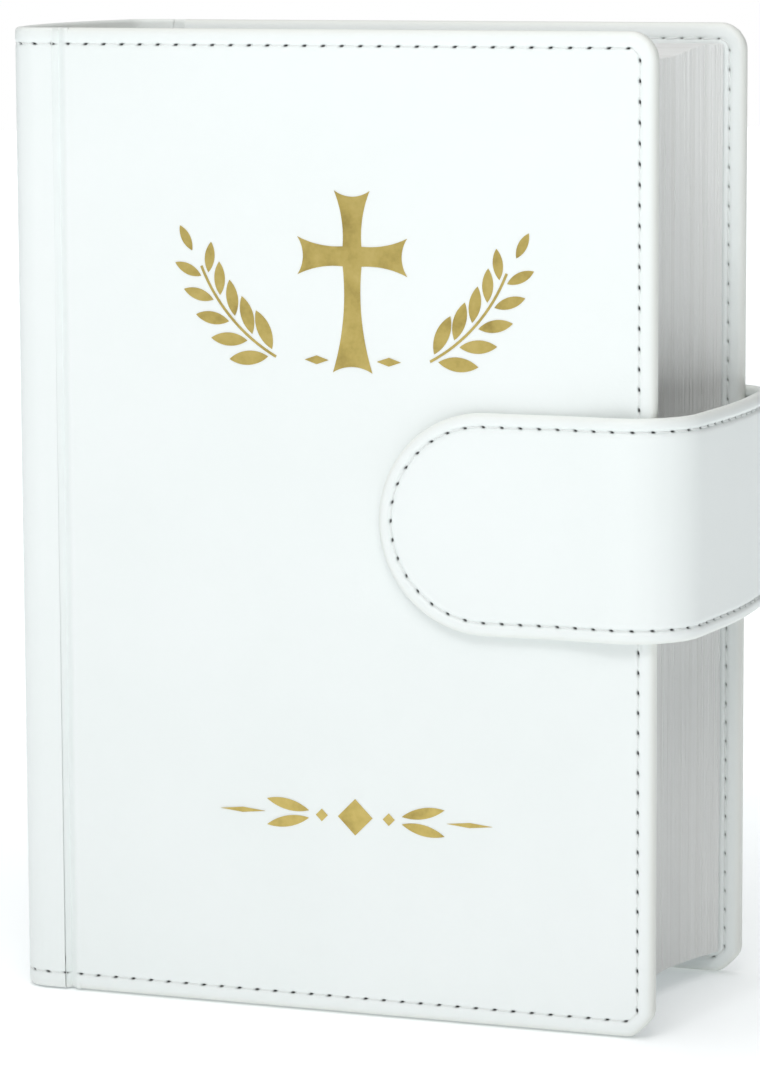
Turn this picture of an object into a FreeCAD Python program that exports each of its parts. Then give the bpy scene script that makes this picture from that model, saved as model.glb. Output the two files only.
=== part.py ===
"""A hardback bible in white imitation leather, standing on its tail edges.

The frame: +Z is up, the spine is at -X, the fore edge at +X, the front cover at -Y and the
back cover at +Y. The origin is the middle of the underside of the whole book, strap included.
All lengths are in millimetres.
"""
import FreeCAD
import Part

import math
import os

Vector = FreeCAD.Vector
UP = Vector(0, 0, 1)
TOUCHING = 1e-6
TAIL = "0"

DIMENSIONS = {
    # the case: two boards, a rounded spine and one skin of imitation leather
    "cover_height": 170.0,
    "closed_thickness": 54.0,
    "cover_thickness": 3.0,
    "cover_fore_x": 57.25,
    "board_width": 106.5,
    "corner_radius": 4.8,
    "edge_roll": 0.6,
    "skin": 0.7,
    "turn_in": 0.5,
    "turn_in_width": 6.0,
    "pastedown": 0.3,
    # the joint and the spine
    "groove_width": 2.2,
    "groove_depth": 1.2,
    "joint_width": 2.95,
    "shoulder_radius": 5.0,
    "shoulder_x": -55.95,
    "spine_round": 3.0,
    "spine_stiffener": 0.7,
    "stiffener_margin": 4.0,
    "stiffener_side": 1.0,
    # the block of sewn sections
    "square": 4.0,
    "block_width": 109.6,
    "block_fore_x": 53.6,
    "block_round": 5.1,
    "sections_per_half": 6,
    "half_gap": 0.05,
    "leaf": 0.2,
    "leaf_gap": 0.1,
    "flyleaf_root_x": -48.9,
    "hinge_paper": 0.3,
    "flyleaf_short": 0.3,
    "block_clearance": 0.1,
    "fold_glued": 0.4,
    "fold_slope": 1.4,
    "mull": 0.4,
    "mull_margin": 18.0,
    "band_bead": 1.5,
    "band_side": 0.8,
    # the strap that closes the book
    "strap_width": 38.0,
    "strap_mid_z": 87.0,
    "strap_ply": 1.1,
    "strap_rest_gap": 0.3,
    "strap_tip_x": 8.6,
    "strap_root_x": 16.0,
    "strap_leaves_x": 43.0,
    "strap_out_x": 62.85,
    "strap_out_y": 30.9,
    "strap_bend": 7.5,
    "strap_lead_radius": 40.0,
    "magnet_long": 24.0,
    "magnet_high": 26.0,
    "magnet_thick": 0.8,
    "keeper_thick": 0.8,
    # thread and foil
    "stitch_pitch": 3.4,
    "stitch_length": 2.5,
    "thread": 0.5,
    "thread_proud": 0.25,
    "stitch_inset": 3.0,
    "seam_start": 0.6,
    "seam_radius": 3.3,
    "strap_stitch_inset": 2.3,
    "strap_seam_gap": 0.4,
    "foil": 0.1,
    "ornament_x": 3.4,
    "ornament_z": 128.5,
    "divider_z": 34.8,
}

doc = FreeCAD.newDocument("bible")
sheet = doc.addObject("Spreadsheet::Sheet", "dims")
for row, (alias, value) in enumerate(DIMENSIONS.items(), start=1):
    sheet.set(f"A{row}", alias)
    sheet.set(f"B{row}", str(value))
    sheet.setAlias(f"B{row}", alias)
doc.recompute()
nodes = []


def dim(alias):
    """The number in the sheet's cell."""
    return float(getattr(sheet, alias))


def keep(piece, label):
    """Take a finished object as one named sub-part."""
    piece.Label = label
    nodes.append(piece)
    return piece


# ---------------------------------------------------------------- plates and boxes

def block(name, side, x, y, z):
    """A box between pairs of sheet expressions. y counts inwards from the middle plane's front
    side; side +1 mirrors the box to the back."""
    box = doc.addObject("Part::Box", name)
    low, high = (y if side < 0 else (f"-({y[1]})", f"-({y[0]})"))
    box.setExpression("Length", f"({x[1]}) - ({x[0]})")
    box.setExpression("Width", f"({high}) - ({low})")
    box.setExpression("Height", f"({z[1]}) - ({z[0]})")
    box.setExpression("Placement.Base.x", x[0])
    box.setExpression("Placement.Base.y", low)
    box.setExpression("Placement.Base.z", z[0])
    doc.recompute()
    return box


def cut(name, base, tool):
    """base with tool taken out of it."""
    result = doc.addObject("Part::Cut", name)
    result.Base = base
    result.Tool = tool
    doc.recompute()
    return result


def common(name, first, second):
    """What two objects share."""
    result = doc.addObject("Part::Common", name)
    result.Base = first
    result.Tool = second
    doc.recompute()
    return result


def rounded(name, base, radius, wanted):
    """base with a round of one radius on every edge for which wanted(edge) is true."""
    result = doc.addObject("Part::Fillet", name)
    result.Base = base
    result.Edges = [(i, radius, radius) for i, edge in enumerate(base.Shape.Edges, start=1)
                    if wanted(edge)]
    doc.recompute()
    return result


def fore_corner(edge):
    """Whether a box's edge is one of its two fore-edge corners."""
    start, end = (v.Point for v in edge.Vertexes)
    return abs(start.y - end.y) > 0.1 and start.x > 0


def on_outline(edge):
    """Whether an edge lies round the plate's outline, away from the joint's straight end."""
    middle = edge.valueAt((edge.FirstParameter + edge.LastParameter) / 2)
    ends = [v.Point for v in edge.Vertexes]
    across = len(ends) == 2 and abs(ends[0].y - ends[1].y) > 0.1
    at_joint = middle.x < -dim("board_width") / 2 + 10 and abs(ends[0].x - ends[-1].x) < 0.1
    return not across and not at_joint


BOARD_X = ("dims.cover_fore_x - dims.board_width", "dims.cover_fore_x - dims.skin")
COVER_Y = ("-dims.closed_thickness / 2", "-dims.closed_thickness / 2 + dims.cover_thickness")
BOARD_Y = (f"{COVER_Y[0]} + dims.skin", f"{COVER_Y[1]} - dims.turn_in")
WINDOW_X = (BOARD_X[0], "dims.cover_fore_x - dims.turn_in_width")
WINDOW_Z = ("dims.turn_in_width", "dims.cover_height - dims.turn_in_width")
BLOCK_Z = ("dims.square", "dims.cover_height - dims.square")


def make_board(name, side):
    """A greyboard with round fore corners, inside the skin."""
    height = ("dims.skin", "dims.cover_height - dims.skin")
    plate = block(f"{name}_blank", side, BOARD_X, BOARD_Y, height)
    return rounded(f"{name}_rounded", plate, dim("corner_radius") - dim("skin"), fore_corner)


def make_skin(name, side, board):
    """The leather over a board: one outer sheet with its three free edges rolled over."""
    width = (BOARD_X[0], "dims.cover_fore_x")
    plate = block(f"{name}_blank", side, width, COVER_Y, (TAIL, "dims.cover_height"))
    plate = rounded(f"{name}_corners", plate, dim("corner_radius"), fore_corner)
    plate = rounded(f"{name}_rolled", plate, dim("edge_roll"), on_outline)
    through_turn_in = (f"{COVER_Y[1]} - 2 * dims.turn_in", f"{COVER_Y[1]} + dims.turn_in")
    window = block(f"{name}_window", side, WINDOW_X, through_turn_in, WINDOW_Z)
    return cut(f"{name}_turned", cut(f"{name}_filled", plate, board), window)


def make_pastedown(name, side):
    """The endpaper leaf glued inside the cover, in the window that the turned edges leave."""
    inner = BOARD_Y[1]
    return block(name, side, WINDOW_X, (inner, f"{inner} + dims.pastedown"), WINDOW_Z)


def make_flyleaf(name, side):
    """The free endpaper leaf between the cover and the block."""
    outer = f"{COVER_Y[1]} + dims.leaf_gap"
    width = ("dims.flyleaf_root_x", "dims.block_fore_x - dims.flyleaf_short")
    return block(name, side, width, (outer, f"{outer} + dims.leaf"), BLOCK_Z)


# ---------------------------------------------------------------- outlines padded upwards

def body_pad(label, edges, low, high):
    """A PartDesign body: one closed outline in plan, padded from height low to height high.
    low and high are sheet expressions."""
    body = doc.addObject("PartDesign::Body", f"{label}_body")
    sketch = body.newObject("Sketcher::SketchObject", f"{label}_outline")
    plane = next(o for o in body.Origin.OriginFeatures if o.Role == "XY_Plane")
    sketch.AttachmentSupport = (plane, [""])
    sketch.MapMode = "FlatFace"
    sketch.setExpression("AttachmentOffset.Base.z", low)
    for edge in edges:
        sketch.addGeometry(edge)
    pad = body.newObject("PartDesign::Pad", f"{label}_pad")
    pad.Profile = sketch
    pad.setExpression("Length", f"({high}) - ({low})")
    doc.recompute()
    return body


def chain(points):
    """Edges round a closed outline. Each entry is a corner, or a (through, corner) pair for an
    arc that reaches the corner through a point."""
    corners = [p if isinstance(p, Vector) else p[1] for p in points]
    edges = []
    for before, entry, corner in zip([corners[-1]] + corners[:-1], points, corners):
        if isinstance(entry, Vector):
            edges.append(Part.LineSegment(before, corner))
        else:
            edges.append(Part.Arc(before, entry[0], corner))
    return edges


def at(x, y):
    return Vector(x, y, 0)


def arc_x(apex, sagitta, half_chord, y):
    """x on a circular arc in plan whose apex is on the middle plane and which falls back
    towards +X by sagitta at half_chord."""
    radius = (half_chord ** 2 + sagitta ** 2) / (2 * sagitta)
    return apex + radius - math.sqrt(radius ** 2 - y ** 2)


# ---------------------------------------------------------------- the block of sections

cover_inner = dim("closed_thickness") / 2 - dim("cover_thickness")
block_half = cover_inner - dim("leaf") - 2 * dim("leaf_gap") - dim("block_clearance")
fore_apex = dim("block_fore_x") - dim("block_round")
block_apex = fore_apex - dim("block_width")


def spine_x(y):
    """x of the sections' folds, the rounded back of the block."""
    return arc_x(block_apex, dim("block_round"), block_half, y)


def fore_x(y):
    """x of the hollow fore edge: the same arc, one page's width away."""
    return arc_x(fore_apex, dim("block_round"), block_half, y)


def make_section(label, low, high):
    """One gathering of thin leaves, folded at the spine, between two heights y."""
    middle = (low + high) / 2
    fore_arc = (at(fore_x(middle), middle), at(fore_x(high), high))
    edges = chain([at(spine_x(low), low), at(fore_x(low), low), fore_arc, at(spine_x(high), high)])
    edges[0] = Part.Arc(at(spine_x(high), high), at(spine_x(middle), middle), at(spine_x(low), low))
    return keep(body_pad(label, edges, *BLOCK_Z), label)


def arc_band(label, inner, outer, half, low, high):
    """A strip that follows the spine, between the curves inner(y) and outer(y)."""
    inner_arc = (at(inner(0), 0), at(inner(half), half))
    outer_arc = (at(outer(0), 0), at(outer(-half), -half))
    edges = chain([at(inner(-half), -half), inner_arc, at(outer(half), half), outer_arc])
    return keep(body_pad(label, edges, low, high), label)


# ---------------------------------------------------------------- the spine and joints of the case

def case_curve():
    """The case's spine in plan: one large arc, tangent to both shoulders' arcs. Gives its
    radius, the x of its centre and the angle from -X at which it meets a shoulder."""
    shoulder = dim("shoulder_radius")
    to_apex = shoulder + dim("spine_round")
    across = dim("closed_thickness") / 2 - shoulder
    radius = (to_apex ** 2 + across ** 2 - shoulder ** 2) / (2 * (to_apex - shoulder))
    centre_x = dim("shoulder_x") - to_apex + radius
    return radius, centre_x, math.asin(across / (radius - shoulder))


def case_x(y, depth):
    """x of the case's spine, at a depth under its outer face."""
    radius, centre_x, _ = case_curve()
    return centre_x - math.sqrt((radius - depth) ** 2 - y ** 2)


def shoulder_arc(side, depth):
    """The rounded shoulder between the cover's face and the spine: start, through, end."""
    radius = dim("shoulder_radius") - depth
    centre_y = side * (dim("closed_thickness") / 2 - dim("shoulder_radius"))
    quarter = math.radians(90)
    meets = case_curve()[2]
    return [at(dim("shoulder_x") - radius * math.cos(angle), centre_y + side * radius * math.sin(angle))
            for angle in (quarter, (quarter + meets) / 2, meets)]


def make_spine_leather():
    """The skin over the spine: from one joint round both shoulders to the other joint."""
    joint_end = dim("cover_fore_x") - dim("board_width") - dim("joint_width")
    outer = {side: shoulder_arc(side, 0) for side in (-1, 1)}
    inner = {side: shoulder_arc(side, dim("skin")) for side in (-1, 1)}
    face = dim("closed_thickness") / 2
    apex_out = at(case_x(0, 0), 0)
    apex_in = at(case_x(0, dim("skin")), 0)
    edges = chain([
        at(joint_end, -face), outer[-1][0], (outer[-1][1], outer[-1][2]), (apex_out, outer[1][2]),
        (outer[1][1], outer[1][0]), at(joint_end, face), at(joint_end, face - dim("skin")), inner[1][0],
        (inner[1][1], inner[1][2]), (apex_in, inner[-1][2]), (inner[-1][1], inner[-1][0]),
        at(joint_end, -face + dim("skin"))])
    return keep(body_pad("spine_leather", edges, TAIL, "dims.cover_height"), "spine_leather")


def make_joint_leather(label, side):
    """The skin's French groove beside a board, where the cover bends open."""
    board_edge = dim("cover_fore_x") - dim("board_width")
    face = side * dim("closed_thickness") / 2
    half = dim("groove_width") / 2
    depth = dim("groove_depth")
    radius = (half ** 2 + depth ** 2) / (2 * depth)
    centre_y = face - side * (depth - radius)
    inner_radius = radius + dim("skin")
    inner_end_y = centre_y - side * math.sqrt(inner_radius ** 2 - half ** 2)
    middle = board_edge - half
    far = board_edge - dim("joint_width")
    edges = chain([
        at(board_edge, face), (at(middle, face - side * depth), at(middle - half, face)), at(far, face),
        at(far, face - side * dim("skin")), at(middle - half, inner_end_y),
        (at(middle, centre_y - side * inner_radius), at(board_edge, inner_end_y))])
    return keep(body_pad(label, edges, TAIL, "dims.cover_height"), label)


def make_hinge_paper(label, side):
    """The fold of the endpaper: it crosses the joint and is glued down on the outer section."""
    board_edge = dim("cover_fore_x") - dim("board_width")
    paste_outer = -(dim("closed_thickness") / 2 - dim("cover_thickness") + dim("turn_in"))
    paper = dim("hinge_paper")
    block_face = -block_half
    glued_to = spine_x(block_half) + dim("fold_glued")
    meets_block = board_edge - dim("fold_slope")
    outer_meets = meets_block - paper / 3
    points = [(board_edge, paste_outer), (board_edge, paste_outer + paper), (meets_block, block_face),
              (glued_to, block_face), (glued_to, block_face - paper), (outer_meets, block_face - paper)]
    edges = chain([at(x, -side * y) for x, y in points])
    return keep(body_pad(label, edges, *BLOCK_Z), label)


# ---------------------------------------------------------------- a route in plan

class Route:
    """Straight runs in plan joined by tangent arcs, measured by the length along them."""

    def __init__(self, points, radii):
        self.pieces = []
        start = points[0]
        for corner, after, radius in zip(points[1:-1], points[2:], radii):
            heading_in = (corner - start).normalize()
            heading_out = (after - corner).normalize()
            turn = heading_in.getAngle(heading_out)
            bend_side = 1 if heading_in.cross(heading_out).z > 0 else -1
            reach = radius * math.tan(turn / 2)
            arc_start = corner - heading_in * reach
            self.add_line(start, arc_start)
            self.pieces.append(("arc", arc_start, heading_in, radius * turn, bend_side * radius))
            start = corner + heading_out * reach
        self.add_line(start, points[-1])
        self.length = sum(piece[3] for piece in self.pieces)

    def add_line(self, start, end):
        self.pieces.append(("line", start, (end - start).normalize(), (end - start).Length, 0.0))

    def place(self, along):
        """The point and the heading at a length along the route."""
        for kind, start, heading, length, radius in self.pieces:
            if along <= length + TOUCHING:
                break
            along -= length
        if kind == "line":
            return start + heading * along, heading
        turned = FreeCAD.Rotation(UP, math.degrees(along / radius))
        centre = start + UP.cross(heading) * radius
        return centre + turned.multVec(start - centre), turned.multVec(heading)

    def beside(self, along, offset):
        """The point at a length along the route and an offset to its left."""
        point, heading = self.place(along)
        return point + UP.cross(heading) * offset

    def stops(self, low, high):
        """The lengths at which a stretch starts, changes from line to arc, and ends."""
        ends = []
        total = 0.0
        for piece in self.pieces:
            total += piece[3]
            ends.append(total)
        return [low] + [e for e in ends if low + TOUCHING < e < high - TOUCHING] + [high]

    def band(self, low, high, near, far):
        """A closed outline: the stretch between two lengths, from offset near to offset far."""
        stops = self.stops(low, high)
        there = [self.beside(low, near)]
        back = [self.beside(high, far)]
        for first, last in zip(stops, stops[1:]):
            there.append((self.beside((first + last) / 2, near), self.beside(last, near)))
        for first, last in zip(stops[::-1], stops[::-1][1:]):
            back.append((self.beside((first + last) / 2, far), self.beside(last, far)))
        outline = []
        before = None
        for entry in there + back:
            corner = entry if isinstance(entry, Vector) else entry[1]
            straight = before is not None and not isinstance(entry, Vector) and abs(
                (entry[0] - before).cross(corner - before).z) < TOUCHING
            outline.append(corner if straight else entry)
            before = corner
        return chain(outline)


# ---------------------------------------------------------------- thread

def stitch(centre, heading, normal):
    """One stitch lying on a surface: a short square-section thread with its ends cut down."""
    across = normal.cross(heading)
    half, wide, proud = dim("stitch_length") / 2, dim("thread") / 2, dim("thread_proud")
    profile = [(-half, 0), (half, 0), (half - proud, proud), (-half + proud, proud)]
    corners = [centre + heading * a + normal * b - across * wide for a, b in profile]
    face = Part.Face(Part.makePolygon(corners + corners[:1]))
    return face.extrude(across * (2 * wide))


def thread_node(label, stitches):
    """One sewing line: its stitches as separate solids in one node."""
    feature = doc.addObject("Part::Feature", label)
    feature.Shape = Part.makeCompound(stitches)
    return keep(feature, label)


def spaced(length):
    """Positions of evenly spaced stitch centres along a length, at about the stitch pitch."""
    count = round(length / dim("stitch_pitch"))
    return [(i + 0.5) * length / count for i in range(count)]


def cover_seam(side, outer):
    """Stitches along the head, fore edge and tail of a cover, on one of its faces."""
    inset = dim("stitch_inset")
    face_y = dim("closed_thickness") / 2 - (0 if outer else dim("cover_thickness"))
    start_x = dim("cover_fore_x") - dim("board_width") + dim("seam_start")
    fore, head = dim("cover_fore_x") - inset, dim("cover_height") - inset
    seam = Route([at(start_x, inset), at(fore, inset), at(fore, head), at(start_x, head)],
                 [dim("seam_radius")] * 2)
    normal = Vector(0, side if outer else -side, 0)
    stitches = []
    for along in spaced(seam.length):
        flat, heading = seam.place(along)
        centre = Vector(flat.x, side * face_y, flat.y)
        stitches.append(stitch(centre, Vector(heading.x, 0, heading.y), normal))
    return stitches


def spine_seam():
    """Stitches over the spine at head and tail, between the two covers' seams."""
    inset = dim("stitch_inset")
    radius, centre_x, widest = case_curve()
    stitches = []
    for height in (inset, dim("cover_height") - inset):
        for along in spaced(2 * widest * radius):
            angle = along / radius - widest
            normal = Vector(-math.cos(angle), math.sin(angle), 0)
            stitches.append(stitch(Vector(centre_x, 0, height) + normal * radius, UP.cross(normal), normal))
    return stitches


# ---------------------------------------------------------------- the strap

def strap_route():
    """The middle of the strap in plan: from its root on the back cover, round the fore edge,
    to its tip on the front cover."""
    flat_back = dim("closed_thickness") / 2 + dim("strap_ply")
    flat_front = -flat_back - dim("strap_rest_gap")
    out_x, out_y, leaves = dim("strap_out_x"), dim("strap_out_y"), dim("strap_leaves_x")
    return Route([at(dim("strap_root_x"), flat_back), at(leaves, flat_back), at(out_x, out_y),
                  at(out_x, -out_y), at(leaves, flat_front), at(dim("strap_tip_x"), flat_front)],
                 [dim("strap_lead_radius"), dim("strap_bend"), dim("strap_bend"), dim("strap_lead_radius")])


STRAP_Z = ("dims.strap_mid_z - dims.strap_width / 2", "dims.strap_mid_z + dims.strap_width / 2")


def round_tip(name):
    """A tool with the tip's round end, right through the strap's thickness."""
    tool_y = ("-dims.closed_thickness", "0")
    centre = "dims.strap_tip_x + dims.strap_width / 2"
    past_the_bend = "dims.strap_out_x + dims.strap_width / 2"
    straight = block(f"{name}_straight", -1, (centre, past_the_bend), tool_y, STRAP_Z)
    end = doc.addObject("Part::Cylinder", f"{name}_end")
    end.setExpression("Radius", "dims.strap_width / 2")
    end.setExpression("Height", "dims.closed_thickness")
    end.Placement.Rotation = FreeCAD.Rotation(Vector(1, 0, 0), 90)
    end.setExpression("Placement.Base.x", centre)
    end.setExpression("Placement.Base.z", "dims.strap_mid_z")
    tool = doc.addObject("Part::Fuse", name)
    tool.Base = straight
    tool.Tool = end
    doc.recompute()
    return tool


def strap_seam(route, low, high):
    """Stitches along both long edges of a stretch of the strap, on its outer face. Where that
    face is hollow, a stitch spans the hollow from one of its ends to the other."""
    rise = dim("strap_width") / 2 - dim("strap_stitch_inset")
    half = dim("stitch_length") / 2
    stitches = []
    for along in spaced(high - low):
        point, heading = route.place(low + along)
        normal = UP.cross(heading)
        outer = point + normal * dim("strap_ply")
        first = route.beside(low + along - half, dim("strap_ply"))
        last = route.beside(low + along + half, dim("strap_ply"))
        middle = (first + last) / 2
        if (middle - outer).dot(normal) > TOUCHING:
            outer = middle
            heading = (last - first).normalize()
            normal = UP.cross(heading)
        for height in (-rise, rise):
            stitches.append(stitch(outer + UP * (dim("strap_mid_z") + height), heading, normal))
    return stitches


def tip_seam():
    """Stitches round the strap's round tip."""
    rise = dim("strap_width") / 2 - dim("strap_stitch_inset")
    face_y = -(dim("closed_thickness") / 2 + 2 * dim("strap_ply") + dim("strap_rest_gap"))
    centre = Vector(dim("strap_tip_x") + dim("strap_width") / 2, face_y, dim("strap_mid_z"))
    stitches = []
    for along in spaced(math.pi * rise):
        angle = math.pi / 2 + along / rise
        out = Vector(math.cos(angle), 0, math.sin(angle))
        heading = Vector(-math.sin(angle), 0, math.cos(angle))
        stitches.append(stitch(centre + out * rise, heading, Vector(0, -1, 0)))
    return stitches


# ---------------------------------------------------------------- gold foil

def foil_piece(edges):
    """One flat piece of foil on the front cover, from edges drawn with y as height."""
    face = Part.Face(Part.Wire([edge.toShape() for edge in edges]))
    turned = face.copy()
    turned.rotate(Vector(0, 0, 0), Vector(1, 0, 0), 90)
    turned.translate(Vector(0, -dim("closed_thickness") / 2, 0))
    return turned.extrude(Vector(0, -dim("foil"), 0))


def leaf_shape(root, angle, length, width):
    """A pointed leaf of two arcs."""
    along = at(math.cos(angle), math.sin(angle))
    across = UP.cross(along)
    tip, middle = root + along * length, root + along * (length / 2)
    belly = across * (width / 2)
    return [Part.Arc(root, middle + belly, tip), Part.Arc(tip, middle - belly, root)]


def lozenge(centre, long, high):
    """A diamond."""
    across, up = at(long / 2, 0), at(0, high / 2)
    return chain([centre + across, centre + up, centre - across, centre - up])


def flared_cross(centre, height, width, waist, foot):
    """A Latin cross with slightly flared, hollow-ended arms. centre is where the arms meet."""
    half, flare, dip = waist / 2, waist * 0.95, waist * 0.3
    up = height * 0.36
    down = height - up
    arm = width / 2
    outline = [
        (at(arm * 0.62, half * 1.15), at(arm, flare)), (at(arm - dip, 0), at(arm, -flare)),
        (at(arm * 0.62, -half * 1.15), at(half, -half)),
        (at(half * 1.1, -down * 0.62), at(foot, -down)), (at(0, -down + dip), at(-foot, -down)),
        (at(-half * 1.1, -down * 0.62), at(-half, -half)),
        (at(-arm * 0.62, -half * 1.15), at(-arm, -flare)), (at(-arm + dip, 0), at(-arm, flare)),
        (at(-arm * 0.62, half * 1.15), at(-half, half)),
        (at(-half * 1.15, up * 0.62), at(-flare, up)), (at(0, up - dip), at(flare, up)),
        (at(half * 1.15, up * 0.62), at(half, half))]
    moved = [centre + p if isinstance(p, Vector) else (centre + p[0], centre + p[1]) for p in outline]
    return chain(moved)


def sprig(root, side, pairs):
    """A curved branch with paired leaves, springing from beside the cross's foot."""
    stem_radius, stem_half = 30.0, 0.22
    start, sweep = math.radians(-62), math.radians(40)
    centre = root + at(0, stem_radius * 0.88)
    leaf_long, leaf_shorter, leaf_slim = 7.2, 2.4, 0.34
    leaf_lift, end_lift, leaf_off = 0.62, 0.1, 0.75
    first_pair, drift = 0.06, 0.02

    def on_branch(radius, turn):
        return centre + at(side * radius * math.cos(turn), radius * math.sin(turn))

    outer, inner = ([on_branch(stem_radius + offset, start + sweep * t) for t in (0, 0.5, 1)]
                    for offset in (stem_half, -stem_half))
    pieces = [[Part.Arc(*outer), Part.LineSegment(outer[2], inner[2]), Part.Arc(*inner[::-1]),
               Part.LineSegment(inner[0], outer[0])]]
    for i in range(pairs):
        part = i / (pairs - 1)
        turn = start + sweep * (first_pair + (1 - first_pair) * part)
        length = leaf_long - leaf_shorter * part
        at_end = i == pairs - 1
        for gap_side in (1,) if at_end else (1, -1):
            heading = turn + math.pi / 2 - (end_lift if at_end else leaf_lift * gap_side)
            foot = on_branch(stem_radius + leaf_off * gap_side, turn + drift * i)
            angle = heading if side > 0 else math.pi - heading
            pieces.append(leaf_shape(foot, angle, length, length * leaf_slim))
    return pieces


def upper_ornament():
    """A cross between two sprigs, with a small diamond at each side of its foot."""
    middle = at(dim("ornament_x"), dim("ornament_z"))
    cross_up, sprig_down = at(0, 3.2), at(0, -14.2)
    shapes = [flared_cross(middle + cross_up, height=31.0, width=20.0, waist=3.4, foot=3.6)]
    for side in (-1, 1):
        shapes += sprig(middle + sprig_down, side, pairs=6)
        shapes.append(lozenge(middle + at(side * 6.6, -14.6), long=4.4, high=1.5))
    return shapes


def lower_ornament():
    """A divider: a large diamond in the middle of small ones and slim leaves."""
    middle = at(dim("ornament_x"), dim("divider_z"))
    leaf_out, leaf_up, leaf_tilt = 8.6, 0.65, 0.208
    shapes = [lozenge(middle, long=6.4, high=6.4)]
    for side in (-1, 1):
        shapes.append(lozenge(middle + at(side * 6.2, 0), long=2.2, high=2.2))
        for up in (-1, 1):
            angle = leaf_tilt * up if side > 0 else math.pi - leaf_tilt * up
            foot = middle + at(side * leaf_out, up * leaf_up)
            shapes.append(leaf_shape(foot, angle, length=8.0, width=1.9))
        shapes.append(lozenge(middle + at(side * 21.0, 0), long=8.4, high=0.9))
    return shapes


def make_foil():
    """Both gilt ornaments of the front cover."""
    for label, shapes in (("cross_foil", upper_ornament()), ("divider_foil", lower_ornament())):
        feature = doc.addObject("Part::Feature", label)
        feature.Shape = Part.makeCompound([foil_piece(edges) for edges in shapes])
        keep(feature, label)


# ---------------------------------------------------------------- assembly

def make_keeper():
    """The steel plate under the skin that the strap's magnet holds, and its bed in the board."""
    centre_x = "dims.strap_tip_x + dims.strap_width / 2"
    x = (f"{centre_x} - dims.magnet_long / 2", f"{centre_x} + dims.magnet_long / 2")
    z = ("dims.strap_mid_z - dims.magnet_high / 2", "dims.strap_mid_z + dims.magnet_high / 2")
    outer = BOARD_Y[0]
    bed = block("keeper_bed", -1, x, (f"{outer} - dims.keeper_thick", f"{outer} + dims.keeper_thick"), z)
    plate = block("keeper_blank", -1, x, (outer, f"{outer} + dims.keeper_thick"), z)
    return plate, bed


def make_cover(name, side):
    """A cover: greyboard, leather, pastedown, its sewing, and the joint that carries it."""
    board = make_board(f"{name}_board", side)
    skin = make_skin(f"{name}_leather", side, board)
    if side < 0:
        plate, bed = make_keeper()
        board = cut(f"{name}_board_bedded", board, bed)
        keep(plate, "keeper_plate")
    keep(board, f"{name}_board")
    keep(skin, f"{name}_leather")
    keep(make_pastedown(f"{name}_pastedown_sheet", side), f"{name}_pastedown")
    thread_node(f"{name}_stitching", cover_seam(side, True) + cover_seam(side, False))
    make_joint_leather(f"{name}_joint_leather", side)
    make_hinge_paper(f"{name}_endpaper_fold", side)
    keep(make_flyleaf(f"{name}_flyleaf_sheet", side), f"{name}_flyleaf")


def make_block():
    """The sewn sections of both halves, counted from the front cover to the back."""
    count = int(dim("sections_per_half"))
    thickness = (block_half - dim("half_gap")) / count
    for i in range(count):
        low = -block_half + i * thickness
        make_section(f"front_section_{i + 1:02d}", low, low + thickness)
    for i in range(count):
        low = dim("half_gap") + i * thickness
        make_section(f"rear_section_{i + 1:02d}", low, low + thickness)


def make_spine():
    """What lines, stiffens and covers the back of the block."""
    mull = dim("mull")
    arc_band("spine_mull", spine_x, lambda y: spine_x(y) - mull, block_half - mull,
             "dims.mull_margin", "dims.cover_height - dims.mull_margin")
    skin, stiffener = dim("skin"), dim("spine_stiffener")
    stiff_half = dim("closed_thickness") / 2 - dim("shoulder_radius") - dim("stiffener_side")
    arc_band("spine_stiffener", lambda y: case_x(y, skin + stiffener), lambda y: case_x(y, skin), stiff_half,
             "dims.stiffener_margin", "dims.cover_height - dims.stiffener_margin")
    make_spine_leather()
    thread_node("spine_stitching", spine_seam())
    bead = dim("band_bead")
    top = "dims.cover_height - dims.square"
    for label, low, high in (("head_band", top, f"{top} + dims.band_bead"),
                             ("tail_band", "dims.square - dims.band_bead", "dims.square")):
        arc_band(label, lambda y: spine_x(y) + bead, spine_x, block_half - dim("band_side"), low, high)


def make_strap():
    """The closing strap in three stretches: sewn root, middle and free tip, each of two plies."""
    route = strap_route()
    bends = [sum(p[3] for p in route.pieces[:i]) + route.pieces[i][3] / 2 for i in (3, 5)]
    stretches = {"root": (0.0, bends[0]), "middle": (bends[0], bends[1]), "tip": (bends[1], route.length)}
    seam_end = route.length - dim("strap_width") / 2
    ply = dim("strap_ply")
    tip_centre = "dims.strap_tip_x + dims.strap_width / 2"
    between_plies = "-dims.closed_thickness / 2 - dims.strap_rest_gap - dims.strap_ply"
    magnet = block("magnet_blank", -1,
                   (f"{tip_centre} - dims.magnet_long / 2", f"{tip_centre} + dims.magnet_long / 2"),
                   (between_plies, f"{between_plies} + dims.magnet_thick"),
                   ("dims.strap_mid_z - dims.magnet_high / 2", "dims.strap_mid_z + dims.magnet_high / 2"))
    for stretch, (low, high) in stretches.items():
        for kind, near, far in (("leather", 0.0, ply), ("lining", -ply, 0.0)):
            label = f"strap_{stretch}_{kind}"
            piece = body_pad(f"{label}_full" if stretch == "tip" else label,
                             route.band(low, high, near, far), *STRAP_Z)
            if stretch == "tip":
                piece = common(f"{label}_round", piece, round_tip(f"{label}_tool"))
                if kind == "lining":
                    piece = cut(f"{label}_pocketed", piece, magnet)
            keep(piece, label)
        gap = dim("strap_seam_gap")
        seams = strap_seam(route, low + gap, min(high, seam_end) - gap)
        if stretch == "tip":
            seams += tip_seam()
        thread_node(f"strap_{stretch}_stitching", seams)
    keep(magnet, "strap_magnet")


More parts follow.
